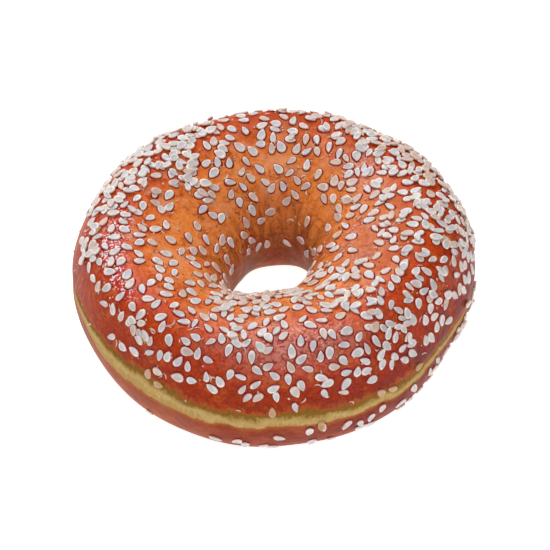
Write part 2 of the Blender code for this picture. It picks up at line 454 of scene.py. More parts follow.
class CrustFinish(Finish):
    """Dark glazed crust above the band, the pale band, pinkish crust below and a dry underside."""

    def __init__(self, colours):
        super().__init__("glazed_crust")
        self.colours = colours
        # painted shade deep in the hole: the hole's crust darkened to a fraction of its colour
        self.painted_hole_shade = tinted(colours.crust_hole, 0.33, 0.25, 0.13)
        self.climb = self.number("climb")
        self.across_band = self.number("across_band")
        # where the glaze is wrinkled: its ridges and gloss, and its painted pink sheen and painted shade
        self.crackle_and_sheen = self.number("crackle_and_sheen")
        # where glints and the deep red between them are painted
        self.painted_sparkle = self.number("painted_sparkle")
        # where mauve shade and, on the left edge, pale streaks of sheen are painted
        self.mauve_shade_and_sheen = self.number("mauve_shade_and_sheen")
        # browner patches, partly painted shade; the gloss is lower there
        self.browned = self.number("browned")
        parts = self.add("ShaderNodeSeparateXYZ")
        self.feed(parts.inputs[0], self.place)
        self.across, self.height = parts.outputs["X"], parts.outputs["Z"]
        self.fibres = self.noise(0.0007, 2.0, 0.6, 0.2, self.upright(0.05, 0.3))

    def baked(self):
        """The oven's colours from the side over the crest and into the hole, with painted shade deep in the
        hole, blotched and grained.
        """
        colours = self.colours
        skin = self.ramp(
            self.maths("MULTIPLY_ADD", self.climb, 0.5, offset=0.25),
            (0.27, colours.crust_side),
            (0.38, halfway(colours.crust_side, colours.crust_crest)),
            (0.50, colours.crust_crest),
            (0.595, colours.crust_inner),
            (0.65, colours.crust_inner),
            (0.71, colours.crust_hole),
            (0.80, self.painted_hole_shade),
        )
        blots = self.fade(self.noise(0.011, 3.0, 0.55, 0.4), 0.48, 0.72, 0.0, 0.5)
        skin = self.mix(blots, skin, tinted(colours.crust_crest, 0.74, 0.50, 0.45))
        patches = self.fade(self.noise(0.0042, 3.0, 0.6), 0.5, 0.75, 0.0, 0.4)
        skin = self.mix(patches, skin, tinted(colours.crust_inner, 1.0, 1.05, 0.8))
        mottle = self.fade(self.noise(0.0024, 4.0, 0.7, 0.8), 0.50, 0.66, 0.0, 0.6)
        skin = self.mix(mottle, skin, MOTTLE)
        grain = self.ramp(self.noise(0.0009, 2.0, 0.6), (0.3, grey(0.3)), (0.7, grey(0.7)))
        return self.mix(0.7, skin, grain, "OVERLAY")

    def glazed(self, skin):
        """Adds wrinkled glaze with a painted pink sheen and painted shade in its troughs, painted glints
        over painted deep red, and thin pale glaze on the inner slope.
        """
        # painted pink sheen on the wrinkles' crests and painted shade in their troughs
        wrinkle = self.fade(self.noise(0.0013, 3.0, 0.65, 1.0), 0.41, 0.53)
        skin = self.mix(self.times(wrinkle, 0.76, self.crackle_and_sheen), skin, PAINTED_PINK_SHEEN)
        furrow_shade = self.times(self.fade(wrinkle, 0.0, 0.6, 0.55, 0.0), self.crackle_and_sheen)
        skin = self.mix(furrow_shade, skin, FURROW_SHADE)
        # painted glints: pale dots over painted deep red, strong in the glint zones and faint everywhere
        dark_between_glints = self.fade(self.noise(0.0008, 1.0, 0.5, 0.5), 0.40, 0.52, 1.0, 0.1)
        skin = self.mix(self.times(self.fade(self.painted_sparkle, 0.05, 0.6, 0.0, 0.8), dark_between_glints), skin, CRIMSON)
        glint_dots = self.fade(self.noise(0.0007, 1.0, 0.5), 0.54, 0.59)
        painted_glints = self.times(glint_dots, self.fade(self.painted_sparkle, 0.08, 0.7, 0.02, 1.0))
        skin = self.mix(painted_glints, skin, PAINTED_GLINT)
        thin = self.times(
            self.fade(self.noise(0.0055, 3.0, 0.6), 0.48, 0.66),
            self.fade(self.climb, 0.46, 0.58, 0.0, 0.5),
            self.fade(self.climb, 0.76, 0.88, 1.0, 0.0),
        )
        return self.mix(thin, skin, THIN_GLAZE)

    def streaked(self, skin):
        """Adds browner patches that are partly painted shade, painted mauve shade, painted pale streaks of
        sheen on the left, and dark streaks of painted shade down the hole.
        """
        # browner, darker patches, partly the oven's colour and partly painted shade
        skin = self.mix(self.browned, skin, OVEN_BROWN_AND_SHADE)
        # painted mauve shade in blots
        mauve_shade_blots = self.times(self.fade(self.noise(0.006, 3.0, 0.65), 0.40, 0.6), self.mauve_shade_and_sheen, 0.8)
        skin = self.mix(mauve_shade_blots, skin, PAINTED_MAUVE_SHADE)
        # painted pale streaks of sheen on the left edge
        streaks = self.fade(self.noise(0.0011, 3.0, 0.6, 0.3, self.upright(0.05, 0.3)), 0.50, 0.62)
        on_left = self.fade(self.across, -0.01, -0.03)
        skin = self.mix(self.times(streaks, self.mauve_shade_and_sheen, on_left), skin, PAINTED_SHEEN_STREAK)
        # dark streaks of painted shade down the hole
        hole_streaks = self.noise(0.0016, 3.0, 0.6, 0.3, self.upright(0.014, 0.15))
        in_hole = self.fade(self.climb, 0.72, 0.9)
        return self.mix(
            self.times(in_hole, self.fade(hole_streaks, 0.35, 0.6, 0.55, 0.0)), skin, self.painted_hole_shade
        )

    def with_lower_crust(self, skin):
        """Puts the pinker crust under the band, a little paler on the left."""
        blots = self.noise(0.007, 3.0, 0.6)
        lower = self.ramp(blots, (0.3, LOWER_DARK), (0.5, self.colours.crust_lower), (0.72, LOWER_PALE))
        lower = self.mix(self.fade(self.across, -0.004, -0.032, 0.0, 0.25), lower, LOWER_LEFT)
        # painted mauve shade low on the right
        lower = self.mix(self.times(self.mauve_shade_and_sheen, 0.6), lower, LOWER_MAUVE_SHADE)
        return self.mix(self.fade(self.across_band, -1.2, -0.4), lower, skin)

    def with_band(self, skin):
        """Adds the stretched band, dark at the top and pale below, partly as painted shade and painted
        light, and browned along both edges.
        """
        colours = self.colours
        wander = self.fade(self.noise(0.006, 4.0, 0.6), 0.3, 0.7, -0.4, 0.4)
        combing = self.fade(self.fibres, 0.25, 0.75, -0.3, 0.3)
        tone = self.maths("ADD", self.across_band, self.maths("ADD", wander, combing))
        # painted highlight: the band is paler on the left
        tone = self.maths("ADD", tone, self.fade(self.across, -0.004, -0.034, 0.0, -0.75))
        lower_edge = self.maths("ADD", self.across_band, self.times(wander, 0.6))
        # the band's own olive and cream, its dark upper half partly painted shade and its pale lower half
        # partly painted light
        crumb = self.ramp(
            self.maths("MULTIPLY_ADD", tone, 0.25, offset=0.5),
            (0.24, colours.band_light),
            (0.33, tinted(colours.band_light, 1.15, 1.22, 1.5)),
            (0.44, colours.band_light),
            (0.53, halfway(colours.band_light, colours.band_dark)),
            (0.61, colours.band_dark),
            (0.71, colours.band_dark),
            (0.80, colours.band_rim),
        )
        threads = self.ramp(self.fibres, (0.25, grey(0.34)), (0.75, grey(0.64)))
        crumb = self.mix(0.5, crumb, threads, "OVERLAY")
        strength = self.number("band_strength")
        rim = self.times(self.fade(tone, 1.9, 1.0), self.fade(lower_edge, -1.75, -1.2), strength, 0.8)
        band = self.times(self.fade(tone, 1.35, 0.65), self.fade(lower_edge, -1.2, -0.9), strength)
        return self.mix(band, self.mix(rim, skin, colours.band_rim), crumb), band

    def with_underside(self, skin):
        """Adds the dry crust that lay on the tray."""
        tray_marks = self.noise(0.0025, 4.0, 0.65)
        base = self.colours.crust_base
        dry = self.ramp(tray_marks, (0.3, tinted(base, 0.7, 0.7, 0.7)), (0.7, tinted(base, 1.3, 1.3, 1.3)))
        ragged = self.fade(tray_marks, 0.3, 0.7, -0.0006, 0.0006)
        under = self.fade(self.maths("ADD", self.height, ragged), 0.0022, 0.0004)
        return self.mix(under, skin, dry), under

    def relief(self, bare, fibrous):
        """Wrinkles and fibres too fine for the mesh."""
        swells = self.bump(self.noise(0.0024, 2.0, 0.5, 0.3), 0.00045)
        steepness = self.fade(self.crackle_and_sheen, 0.0, 1.0, 0.14, 1.5)
        ridges = self.times(self.noise(0.0011, 3.0, 0.55, 1.2), steepness, bare)
        return self.bump(self.times(self.fibres, fibrous), 0.0004, self.bump(ridges, 0.00045, swells))

    def gloss(self):
        """Strongest where the glaze is wrinkled, and least low on the side and in the hole."""
        return self.times(
            self.fade(self.crackle_and_sheen, 0.0, 0.8, 0.11, 1.0),
            self.fade(self.climb, 0.10, 0.42, 0.01, 1.0),
            self.fade(self.browned, 0.0, 0.5, 1.0, 0.35),
            self.fade(self.climb, 0.66, 0.9, 1.0, 0.0),
        )


def crust_finish(colours):
    finish = CrustFinish(colours)
    skin = finish.with_lower_crust(finish.streaked(finish.glazed(finish.baked())))
    skin, band = finish.with_band(skin)
    skin, under = finish.with_underside(skin)
    fibrous = finish.maths("MAXIMUM", band, under)
    bare = finish.maths("SUBTRACT", 1.0, fibrous)
    relief = finish.relief(bare, fibrous)
    finish.set(
        Base_Color=skin,
        Roughness=finish.fade(bare, 0.0, 1.0, 0.8, 0.45),
        Specular_IOR_Level=0.06,
        Coat_Weight=finish.times(bare, finish.gloss()),
        Coat_Roughness=0.13,
        Coat_IOR=1.6,
        Normal=relief,
        Coat_Normal=relief,
        Subsurface_Weight=0.08,
        Subsurface_Radius=(0.0012, 0.0005, 0.0002),
        Subsurface_Scale=1.0,
    )
    return finish.material


FAR_FROM_BAND = 3.0  # in half widths of the band
CRACKLED_AND_SHEEN = (  # where the glaze dried wrinkled and carries a painted pink sheen and painted shade: ring and section in degrees, reach in each, strength
    (195, 82, 22, 14, 0.18),
    (277, 73, 25, 25, 1.0),
    (345, 124, 22, 14, 0.48),
    (42, 113, 20, 12, 0.4),
)
PAINTED_SPARKLE_ZONES = (  # where glints are painted on the glaze over painted deep red, given in the same way
    (178, 92, 9, 9, 0.8),
    (191, 84, 9, 10, 1.0),
    (205, 76, 10, 9, 0.9),
    (158, 84, 10, 7, 0.35),
    (42, 114, 10, 7, 0.4),
    (350, 138, 10, 7, 0.35),
    (275, 72, 16, 14, 0.2),
    (202, 68, 20, 16, 0.18),
    (45, 107, 4, 6, 0.4),
    (39, 103, 3, 4, 0.4),
    (5, 131, 9, 7, 0.4),
    (333, 121, 5, 7, 0.45),
    (317, 92, 4, 6, 0.45),
    (315, 104, 4, 4, 0.45),
)
BROWNED_AND_SHADED = (  # where the crust is browner and darker, partly from the oven and partly as painted shade
    (352, 104, 30, 40, 0.45),
    (84, 88, 34, 18, 0.65),
    (35, 82, 20, 26, 0.35),
    (140, 84, 24, 18, 0.42),
    (196, 24, 24, 20, 0.5),
    (262, 18, 26, 14, 0.25),
)
MAUVE_SHADE_AND_SHEEN_ZONES = (  # where mauve shade is painted, with painted pale streaks of sheen on the left edge
    (325, 6, 34, 28, 1.0),
    (189, 22, 6, 10, 0.4),
)
ZONES = {"crackle_and_sheen": CRACKLED_AND_SHEEN, "painted_sparkle": PAINTED_SPARKLE_ZONES, "browned": BROWNED_AND_SHADED, "mauve_shade_and_sheen": MAUVE_SHADE_AND_SHEEN_ZONES}


def band_half_width(ring):
    """The band is widest at the front and on the left, and narrows towards the right and the back."""
    wide = 0.0016 * ring_bell(ring, 262.0, 80.0) - 0.0006 * ring_bell(ring, 257.0, 11.0)
    return 0.0011 + wide + 0.00012 * math.sin(3.0 * ring + 0.8)


def band_rise(ring):
    """At the front right and on the left the band runs a little above the groove."""
    return 0.0010 * ring_bell(ring, 299.0, 19.0) + 0.0009 * ring_bell(ring, 197.0, 12.0)


def band_strength(ring):
    """The band shows best at the front, and is browned over at the back."""
    turn = math.degrees(ring) % 360.0
    return 0.35 + 0.65 * smooth(180.0, 197.0, turn) * (1.0 - smooth(338.0, 352.0, turn))


def crust_numbers(crust, ring, section, height):
    """What the finish has to know about one point of the crust."""
    lift = height - crust.band_height(ring) - band_rise(ring)
    turns = min(max(lift / band_half_width(ring), -FAR_FROM_BAND), FAR_FROM_BAND)
    numbers = {name: min(zone_sum(zones, ring, section), 1.0) for name, zones in ZONES.items()}
    numbers["climb"] = (section / math.pi + 0.5) % 2.0 - 0.5
    numbers["across_band"] = turns if math.cos(section) > 0.0 else FAR_FROM_BAND
    numbers["band_strength"] = band_strength(ring)
    return numbers


class BAGEL_OT_shape_crust(bpy.types.Operator):
    """Shapes the crust from a torus, with its groove and low swells, and gives it its baked finish"""

    bl_idname = "bagel.shape_crust"
    bl_label = "Shape crust"

    def execute(self, context):
        sizes = context.scene.bagel_sizes
        crust = Crust(sizes)
        let_go()
        middle = (crust.outer_radius + crust.hole_radius) / 2.0
        bpy.ops.mesh.primitive_torus_add(
            major_segments=CRUST_RING_STEPS,
            minor_segments=CRUST_SECTION_STEPS,
            major_radius=middle,
            minor_radius=(crust.outer_radius - crust.hole_radius) / 2.0,
        )
        piece = context.object
        piece.name = piece.data.name = "bagel_crust"
        numbers = []
        for vertex in piece.data.vertices:
            ring = math.atan2(vertex.co.y, vertex.co.x)
            turn = math.atan2(vertex.co.z, math.hypot(vertex.co.x, vertex.co.y) - middle)
            section = turn - WAIST_CROWDING * math.sin(turn)
            vertex.co = crust.point(ring, section)
            numbers.append(crust_numbers(crust, ring, section, vertex.co.z))
        for name in numbers[0]:
            keep_number(piece.data, name, [here[name] for here in numbers])
        piece.data.materials.clear()
        piece.data.materials.append(crust_finish(context.scene.bagel_colours))
        hand_over(piece)
        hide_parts("bagel")
        return {"FINISHED"}


# --- Sesame ------------------------------------------------------------------------------------------


def seed_chance(ring, section, z):
    """How likely one of the widely spaced seeds is to stick here, from 0 to 1."""
    section %= 2.0 * math.pi
    if section > 1.5 * math.pi:
        facing = smooth(0.1, 0.95, math.cos(ring - SIDE_MIDDLE))
        return SIDE_CHANCE * facing if SIDE_LOWEST < z < SIDE_HIGHEST else 0.0
    lift = BARE_LIFT * max(math.cos(ring - BARE_SIDE), 0.0) ** 4
    on_top = smooth(TOP_EDGE + lift, TOP_FULL + lift, section)
    down_hole = smooth(HOLE_FULL, HOLE_EDGE, section)
    chance = on_top * (1.0 - down_hole * (1.0 - DEEP_CHANCE))
    thickness = 1.0 + THICK_GAIN * math.cos(ring - THICK_SIDE)
    return 0.0 if section > HOLE_EDGE else chance * thickness / (1.0 + THICK_GAIN)


THICKER = (  # where more or fewer seeds fell: ring and section in degrees, reach in each, gain
    (35, 70, 38, 34, 0.9),
    (5, 45, 22, 30, 0.5),
    (138, 72, 24, 26, 1.0),
    (105, 100, 14, 14, 0.6),
    (240, 138, 30, 12, 2.5),
    (290, 138, 24, 12, 2.0),
    (285, 40, 16, 14, 0.5),
    (168, 128, 22, 18, -0.7),
    (135, 140, 20, 12, -0.5),
    (192, 28, 28, 22, -0.7),
    (230, 40, 25, 18, -0.4),
    (60, 148, 45, 18, -0.8),
    (345, 135, 30, 22, -0.6),
    (275, 78, 16, 14, -0.3),
    (35, 170, 60, 16, -0.85),
    (45, 140, 18, 12, -0.45),
    (195, 50, 20, 26, -0.45),
    (165, 40, 18, 14, -0.7),
    (166, 120, 18, 14, -0.4),
    (135, 102, 18, 14, -0.5),
    (225, 60, 16, 14, -0.4),
    (312, 118, 18, 14, -0.5),
    (312, 80, 18, 12, 0.5),
    (312, 40, 18, 12, -0.35),
    (345, 122, 18, 14, -0.4),
    (255, 120, 18, 12, -0.4),
    (345, -22, 18, 18, 22.0),
    (138, 62, 20, 14, 1.6),
    (312, 40, 14, 10, -0.4),
    (285, 60, 14, 12, 1.4),
    (165, 40, 16, 12, -0.4),
    (105, 80, 14, 12, -0.5),
    (345, 80, 14, 12, 0.5),
    (225, 140, 14, 10, -0.5),
    (285, 22, 14, 10, 0.9),
    (315, 100, 16, 12, -0.45),
    (345, 128, 20, 16, -0.4),
    (345, 78, 14, 12, 0.6),
    (315, 142, 16, 10, 1.2),
    (136, 138, 16, 12, -0.5),
    (45, 100, 14, 10, -0.3),
)
CLUMPS = (  # seeds heaped on each other: ring and section in degrees, how many, reach in metres
    (140, 110, 16, 0.0026),
    (136, 97, 8, 0.0022),
    (122, 88, 9, 0.0024),
    (152, 76, 12, 0.0050),
    (178, 66, 8, 0.0036),
    (187, 60, 6, 0.0024),
    (44, 78, 14, 0.0040),
    (30, 86, 14, 0.0040),
    (8, 92, 7, 0.0036),
    (354, 84, 6, 0.0036),
    (40, 62, 18, 0.0050),
    (52, 74, 14, 0.0044),
    (134, 60, 26, 0.0060),
    (160, 80, 9, 0.0040),
    (70, 76, 7, 0.0060),
    (303, 109, 10, 0.0026),
    (321, 122, 5, 0.0024),
    (14, 26, 12, 0.0050),
    (256, 86, 5, 0.0020),
    (312, 50, 5, 0.0024),
    (226, 52, 5, 0.0022),
    (16, 60, 10, 0.0050),
    (242, 137, 12, 0.0034),
    (262, 134, 12, 0.0034),
    (284, 136, 10, 0.0034),
    (345, 80, 7, 0.0046),
    (316, 80, 11, 0.0060),
    (138, 56, 12, 0.0045),
    (47, 60, 8, 0.0040),
    (344, -20, 8, 0.0045),
    (4, 38, 7, 0.0040),
    (4, 102, 5, 0.0034),
    (318, 140, 6, 0.0034),
    (262, 140, 5, 0.0030),
    (22, 122, 4, 0.0050),
)
LEAST_THICKNESS = 0.05
CLUMP_ROOM = 0.0013  # least distance between the halves of two seeds that lie on others
CLUMP_TRIES = 12
CLUMP_LIFT = (0.0003, 0.0006)
CLUMP_TILT = math.radians(13.0)
CREST_RADIUS = 0.038  # from the axis
SECTION_RADIUS = 0.020
MOST_TRIES = 60000
SEED_ROOM = (0.0015, 0.0021)  # least distance between the halves of two seeds
SIDE_HEIGHT = 0.01
FULL_CHANCE = 1.9  # the thickest sprinkling, against the plain rule's


BAKED_IN = (  # browned seeds, most of them sunk in the band's edges: ring and section in degrees
    (302, 5),
    (306, 2),
    (317, 4),
    (284, -9),
    (270, 8),
    (236, 12),
    (232, 17),
    (351, 70),
    (181, 69),
)


class Place:
    """Where and how one seed lies: the crust's frame at its two angles, and four draws of its own."""

    def __init__(self, ring, section, spot, draw):
        self.ring, self.section = ring, section
        self.point, self.along, self.normal = spot[:3]
        self.turn, self.tip, self.roll, self.size = (draw.random() for _ in range(4))
        self.width = 1.0 + SEED_WIDTH_SPREAD * math.sin(40.0 * self.turn)
        self.lift = 0.0
        self.tilt = SEED_TILT

    def direction(self):
        across = self.normal.cross(self.along)
        angle = 2.0 * math.pi * self.turn
        return self.along * math.cos(angle) + across * math.sin(angle)


def patch_limit(crust):
    """A little more than the largest patch that one step round and up the ring covers."""
    return max(crust.frame(0.0, math.radians(s))[3] for s in range(0, 360, 5)) * 1.1


def sprinkle_widely(crust, draw, places):
    """The widely spaced seeds, drawn by the same rule as those fused to the solid."""
    largest_patch = patch_limit(crust)
    while len(places) < SPREAD_COUNT:
        ring = draw.uniform(0.0, 2.0 * math.pi)
        section = draw.uniform(-math.pi / 2.0, HOLE_EDGE)
        luck = draw.random()
        spot = crust.frame(ring, section)
        point, patch = spot[0], spot[3]
        if luck > seed_chance(ring, section, point.z) * patch / largest_patch:
            continue
        if all((point - place.point).length >= SPREAD_SPACING for place in places):
            places.append(Place(ring, section, spot, draw))
    return largest_patch


class Crowd:
    """Keeps seeds from lying through each other: each takes two round spots along its length."""

    CELL = 0.002

    def __init__(self):
        self.spots = {}

    def ends(self, place, length):
        reach = place.direction() * 0.27 * length
        return place.point + reach, place.point - reach

    def cell(self, point):
        return tuple(int(value // self.CELL) for value in point)

    def is_free(self, ends, room):
        for end in ends:
            near = [range(value - 1, value + 2) for value in self.cell(end)]
            for cell in itertools.product(*near):
                if any((other - end).length < room for other in self.spots.get(cell, ())):
                    return False
        return True

    def add(self, ends):
        for end in ends:
            self.spots.setdefault(self.cell(end), []).append(end)


def sprinkle_closely(crust, sizes, largest_patch, places):
    """The rest of the seeds that lie flat, between the widely spaced ones."""
    draw = random.Random(RANDOM_SEED + 1)
    crowd = Crowd()
    for place in places:
        crowd.add(crowd.ends(place, sizes.seed_length))
    tries = 0
    while len(places) < sizes.seed_count and tries < MOST_TRIES:
        tries += 1
        ring = draw.uniform(0.0, 2.0 * math.pi)
        section = draw.uniform(-math.pi / 2.0, HOLE_EDGE)
        luck = draw.random() * FULL_CHANCE
        thickness = max(1.0 + zone_sum(THICKER, ring, section), LEAST_THICKNESS)
        chance = seed_chance(ring, section, SIDE_HEIGHT) * thickness
        if section < 0.0:
            chance *= CLOSE_SIDE_CHANCE / SIDE_CHANCE
        if luck > chance:
            continue
        spot = crust.frame(ring, section)
        point, patch = spot[0], spot[3]
        if section < 0.0 and not SIDE_LOWEST < point.z < SIDE_HIGHEST:
            continue
        if luck > chance * patch / largest_patch:
            continue
        place = Place(ring, section, spot, draw)
        ends = crowd.ends(place, sizes.seed_length)
        if crowd.is_free(ends, draw.uniform(*SEED_ROOM)):
            crowd.add(ends)
            places.append(place)


def heap_clumps(crust, sizes, places):
    """Seeds that stuck to other seeds, a little higher and more tilted."""
    draw = random.Random(RANDOM_SEED + 2)
    crowd = Crowd()
    for middle, height, count, reach in CLUMPS:
        for _ in range(count):
            for _ in range(CLUMP_TRIES):
                ring = math.radians(middle) + draw.gauss(0.0, reach / CREST_RADIUS)
                section = math.radians(height) + draw.gauss(0.0, reach / SECTION_RADIUS)
                place = Place(ring, section, crust.frame(ring, section), draw)
                ends = crowd.ends(place, sizes.seed_length)
                if crowd.is_free(ends, CLUMP_ROOM):
                    break
            crowd.add(ends)
            place.lift = draw.uniform(*CLUMP_LIFT)
            place.tilt = CLUMP_TILT
            places.append(place)


def baked_in_places(crust):
    """The few browned seeds, where the glaze ran over them."""
    draw = random.Random(RANDOM_SEED + 4)
    places = []
    for middle, height in BAKED_IN:
        ring, section = math.radians(middle), math.radians(height)
        places.append(Place(ring, section, crust.frame(ring, section), draw))
    return places


def laid(place, lift, length, width, thickness, roll=0.0):
    """Lays something of unit size on the crust: sized, rolled, tipped, turned and lifted."""
    across = place.normal.cross(place.along)
    frame_here = Matrix((place.along, across, place.normal)).transposed().to_4x4()
    turned = Matrix.Rotation(2.0 * math.pi * place.turn, 4, "Z")
    tipped = Matrix.Rotation(place.tilt * (2.0 * place.tip - 1.0), 4, "Y")
    rolled = Matrix.Rotation(roll, 4, "X")
    lifted = Matrix.Translation(place.point + place.normal * lift)
    sized = Matrix.Diagonal((length, width, thickness, 1.0))
    return lifted @ frame_here @ turned @ tipped @ rolled @ sized


def seed_matrix(place, seed_length):
    """Lays a seed on the crust."""
    length = seed_length * (1.0 + SEED_SIZE_SPREAD * (2.0 * place.size - 1.0))
    lift = SEED_RISE * SEED_THICKNESS + place.lift
    roll = place.tilt * (2.0 * place.roll - 1.0)
    return laid(place, lift, length, length * place.width, SEED_THICKNESS, roll)


def seed_pattern(plumpness, bend, sharpness):
    """One seed of unit length along X: a flat face with a raised rim, and one end round, one blunt."""
    let_go()
    steps = len(SEED_PROFILE) - 1
    bpy.ops.mesh.primitive_uv_sphere_add(segments=SEED_SIDES, ring_count=steps, radius=0.5)
    seed = bpy.context.object
    for vertex in seed.data.vertices:
        reach = max(math.hypot(vertex.co.x, vertex.co.y), 1e-6)
        share, rise = SEED_PROFILE[round(math.acos(vertex.co.z / 0.5) / math.pi * steps)]
        x, y = vertex.co.x / reach * share * 0.5, vertex.co.y / reach * share * 0.5
        along = 2.0 * x
        narrowing = 1.0 - SEED_POINTEDNESS * along - sharpness * max(along, 0.0) ** 3
        vertex.co = (x, y * SEED_WIDTH * plumpness * narrowing + bend * along * along, rise)
    return seed


def middle_share(co):
    """1 in the middle of a seed's face, falling to 0 at its rim, and 0 under it."""
    if co[2] < 0.2:
        return 0.0
    return max(1.0 - math.hypot(co[0] / 0.5, co[1] / (0.5 * SEED_WIDTH)) / 0.91, 0.0)


def join_copies(name, pattern, matrices, tones, raised=None):
    """Turns the pattern into one mesh of its copies, each with its own tone; some lie on others."""
    raised = raised or [0.0] * len(matrices)
    points = np.array([(*vertex.co, 1.0) for vertex in pattern.data.vertices])
    outline = [tuple(face.vertices) for face in pattern.data.polygons]
    middles = np.array([middle_share(point) for point in points])
    placed = np.concatenate([(points @ np.array(matrix).T)[:, :3] for matrix in matrices])
    step = len(points)
    faces = [tuple(i + n * step for i in face) for n in range(len(matrices)) for face in outline]
    mesh = bpy.data.meshes.new(name)
    mesh.from_pydata(placed.tolist(), [], faces)
    keep_number(mesh, "middle", np.tile(middles, len(matrices)))
    keep_number(mesh, "tone", np.repeat(tones, step))
    keep_number(mesh, "height", np.tile(points[:, 2], len(matrices)))
    keep_number(mesh, "raised", np.repeat(raised, step))
    bpy.data.objects.remove(pattern)
    piece = bpy.data.objects.new(name, mesh)
    bpy.context.scene.collection.objects.link(piece)
    return piece


def seed_finish(name, colours, face, rim, stain_and_shade):
    """A hulled seed: cool matt face, cream rim, and glaze drawn up its foot, darkened partly as a painted
    contact shadow.
    """
    finish = Finish(name)
    tone = finish.number("tone")
    middle = finish.number("middle")
    height = finish.number("height")
    raised = finish.number("raised")
    cloud = finish.noise(0.0011, 2.0, 0.6)
    inner = finish.fade(finish.maths("ADD", middle, finish.fade(cloud, 0.3, 0.7, -0.12, 0.12)), 0.13, 0.40)
    skin = finish.mix(inner, rim, face)
    skin = finish.mix(finish.fade(tone, 0.75, 1.0, 0.0, 0.35), skin, colours.seed_toast)
    skin = finish.mix(finish.fade(tone, 0.0, 0.5, 0.25, 0.0), skin, tinted(face, 0.75, 0.75, 0.75))
    warm = finish.fade(finish.noise(0.0028, 2.0, 0.5), 0.56, 0.70, 0.0, 0.55)
    skin = finish.mix(warm, skin, colours.seed_toast)
    # painted contact shadow, partly the glaze's own dark: each seed's foot darkened, less on seeds that lie
    # on others
    foot = finish.times(finish.fade(height, 0.0, -0.16), finish.fade(raised, 0.0, 1.0, 1.0, 0.4))
    skin = finish.mix(foot, skin, stain_and_shade)
    relief = finish.bump(finish.noise(0.00035, 2.0, 0.6), 0.00005)
    finish.set(
        Base_Color=skin,
        Roughness=0.42,
        Coat_Weight=0.15,
        Coat_Roughness=0.3,
        Normal=relief,
        Subsurface_Weight=0.12,
        Subsurface_Radius=(0.0006, 0.0005, 0.0004),
        Subsurface_Scale=1.0,
    )
    return finish.material


STAIN_AND_SHADE = paint(122, 30, 48)  # glaze drawn up a seed's foot, dark partly as painted contact shadow
SEED_SHAPES = {  # how plump, how bent and how sharp
    "sesame_pale": (0.95, 0.01, 0.34),
    "sesame_slim": (0.76, 0.04, 0.52),
    "sesame_toasted": (0.90, 0.0, 0.34),
    "sesame_glazed": (0.94, 0.02, 0.30),
    "sesame_baked_in": (0.95, 0.0, 0.34),
}
BROWNED_SEEDS = {  # face, rim and foot of the kinds that aren't plain
    "sesame_toasted": (paint(212, 188, 174), paint(246, 220, 202), STAIN_AND_SHADE),
    "sesame_glazed": (paint(208, 186, 178), paint(242, 214, 200), STAIN_AND_SHADE),
    "sesame_baked_in": (paint(188, 136, 84), paint(208, 160, 106), paint(150, 84, 40)),
}
POOL_REACH = 1.13  # of a seed's length
POOL_HEIGHT = 0.00030
# dark glaze round each seed's foot, partly standing in as painted contact shadow
POOL_RED_AND_SHADE = paint(140, 16, 50)
POOL_BROWN_AND_SHADE = paint(182, 38, 44)


def all_places(sizes):
    """Every seed's place, drawn anew by the same rule each time."""
    crust = Crust(sizes)
    places = []
    largest_patch = sprinkle_widely(crust, random.Random(RANDOM_SEED), places)
    sprinkle_closely(crust, sizes, largest_patch, places)
    heap_clumps(crust, sizes, places)
    return places


def sorted_kinds(places, draw):
    """More seeds are toasted, glazed or slim down the hole and on the outside at the back, where their
    warmer tones partly stand in as painted shade.
    """
    kinds = {"sesame_pale": [], "sesame_slim": [], "sesame_toasted": [], "sesame_glazed": []}
    for place in places:
        deep = smooth(math.radians(102.0), math.radians(150.0), place.section)
        # the outside at the back and the depth of the hole, where warmer seeds partly stand in as painted
        # shade
        behind = ring_bell(place.ring, 55.0, 45.0)
        behind *= 1.0 - smooth(math.radians(70.0), math.radians(95.0), place.section)
        luck = draw.random()
        if luck < 0.02 + 0.3 * deep + 0.25 * behind:
            kinds["sesame_toasted"].append(place)
        elif luck < 0.06 + 0.75 * deep + 0.45 * behind:
            kinds["sesame_glazed"].append(place)
        elif luck < 0.35 + 0.6 * deep + 0.3 * behind:
            kinds["sesame_slim"].append(place)
        else:
            kinds["sesame_pale"].append(place)
    return kinds


class BAGEL_OT_sprinkle_sesame(bpy.types.Operator):
    """Sprinkles the sesame: widely, then closely, then in clumps, and sorts it into its kinds"""

    bl_idname = "bagel.sprinkle_sesame"
    bl_label = "Sprinkle sesame"

    def execute(self, context):
        sizes, colours = context.scene.bagel_sizes, context.scene.bagel_colours
        draw = random.Random(RANDOM_SEED + 3)
        kinds = sorted_kinds(all_places(sizes), draw)
        kinds["sesame_baked_in"] = baked_in_places(Crust(sizes))
        plain = (tuple(colours.seed_face), tuple(colours.seed_rim), STAIN_AND_SHADE)
        for name, members in kinds.items():
            face, rim, stain_and_shade = BROWNED_SEEDS.get(name, plain)
            pattern = seed_pattern(*SEED_SHAPES[name])
            matrices = [seed_matrix(place, sizes.seed_length) for place in members]
            tones = [draw.random() for _ in members]
            raised = [float(place.lift > 0.0) for place in members]
            piece = join_copies(name, pattern, matrices, tones, raised)
            piece.data.materials.append(seed_finish(name, colours, face, rim, stain_and_shade))
            hand_over(piece)
        return {"FINISHED"}


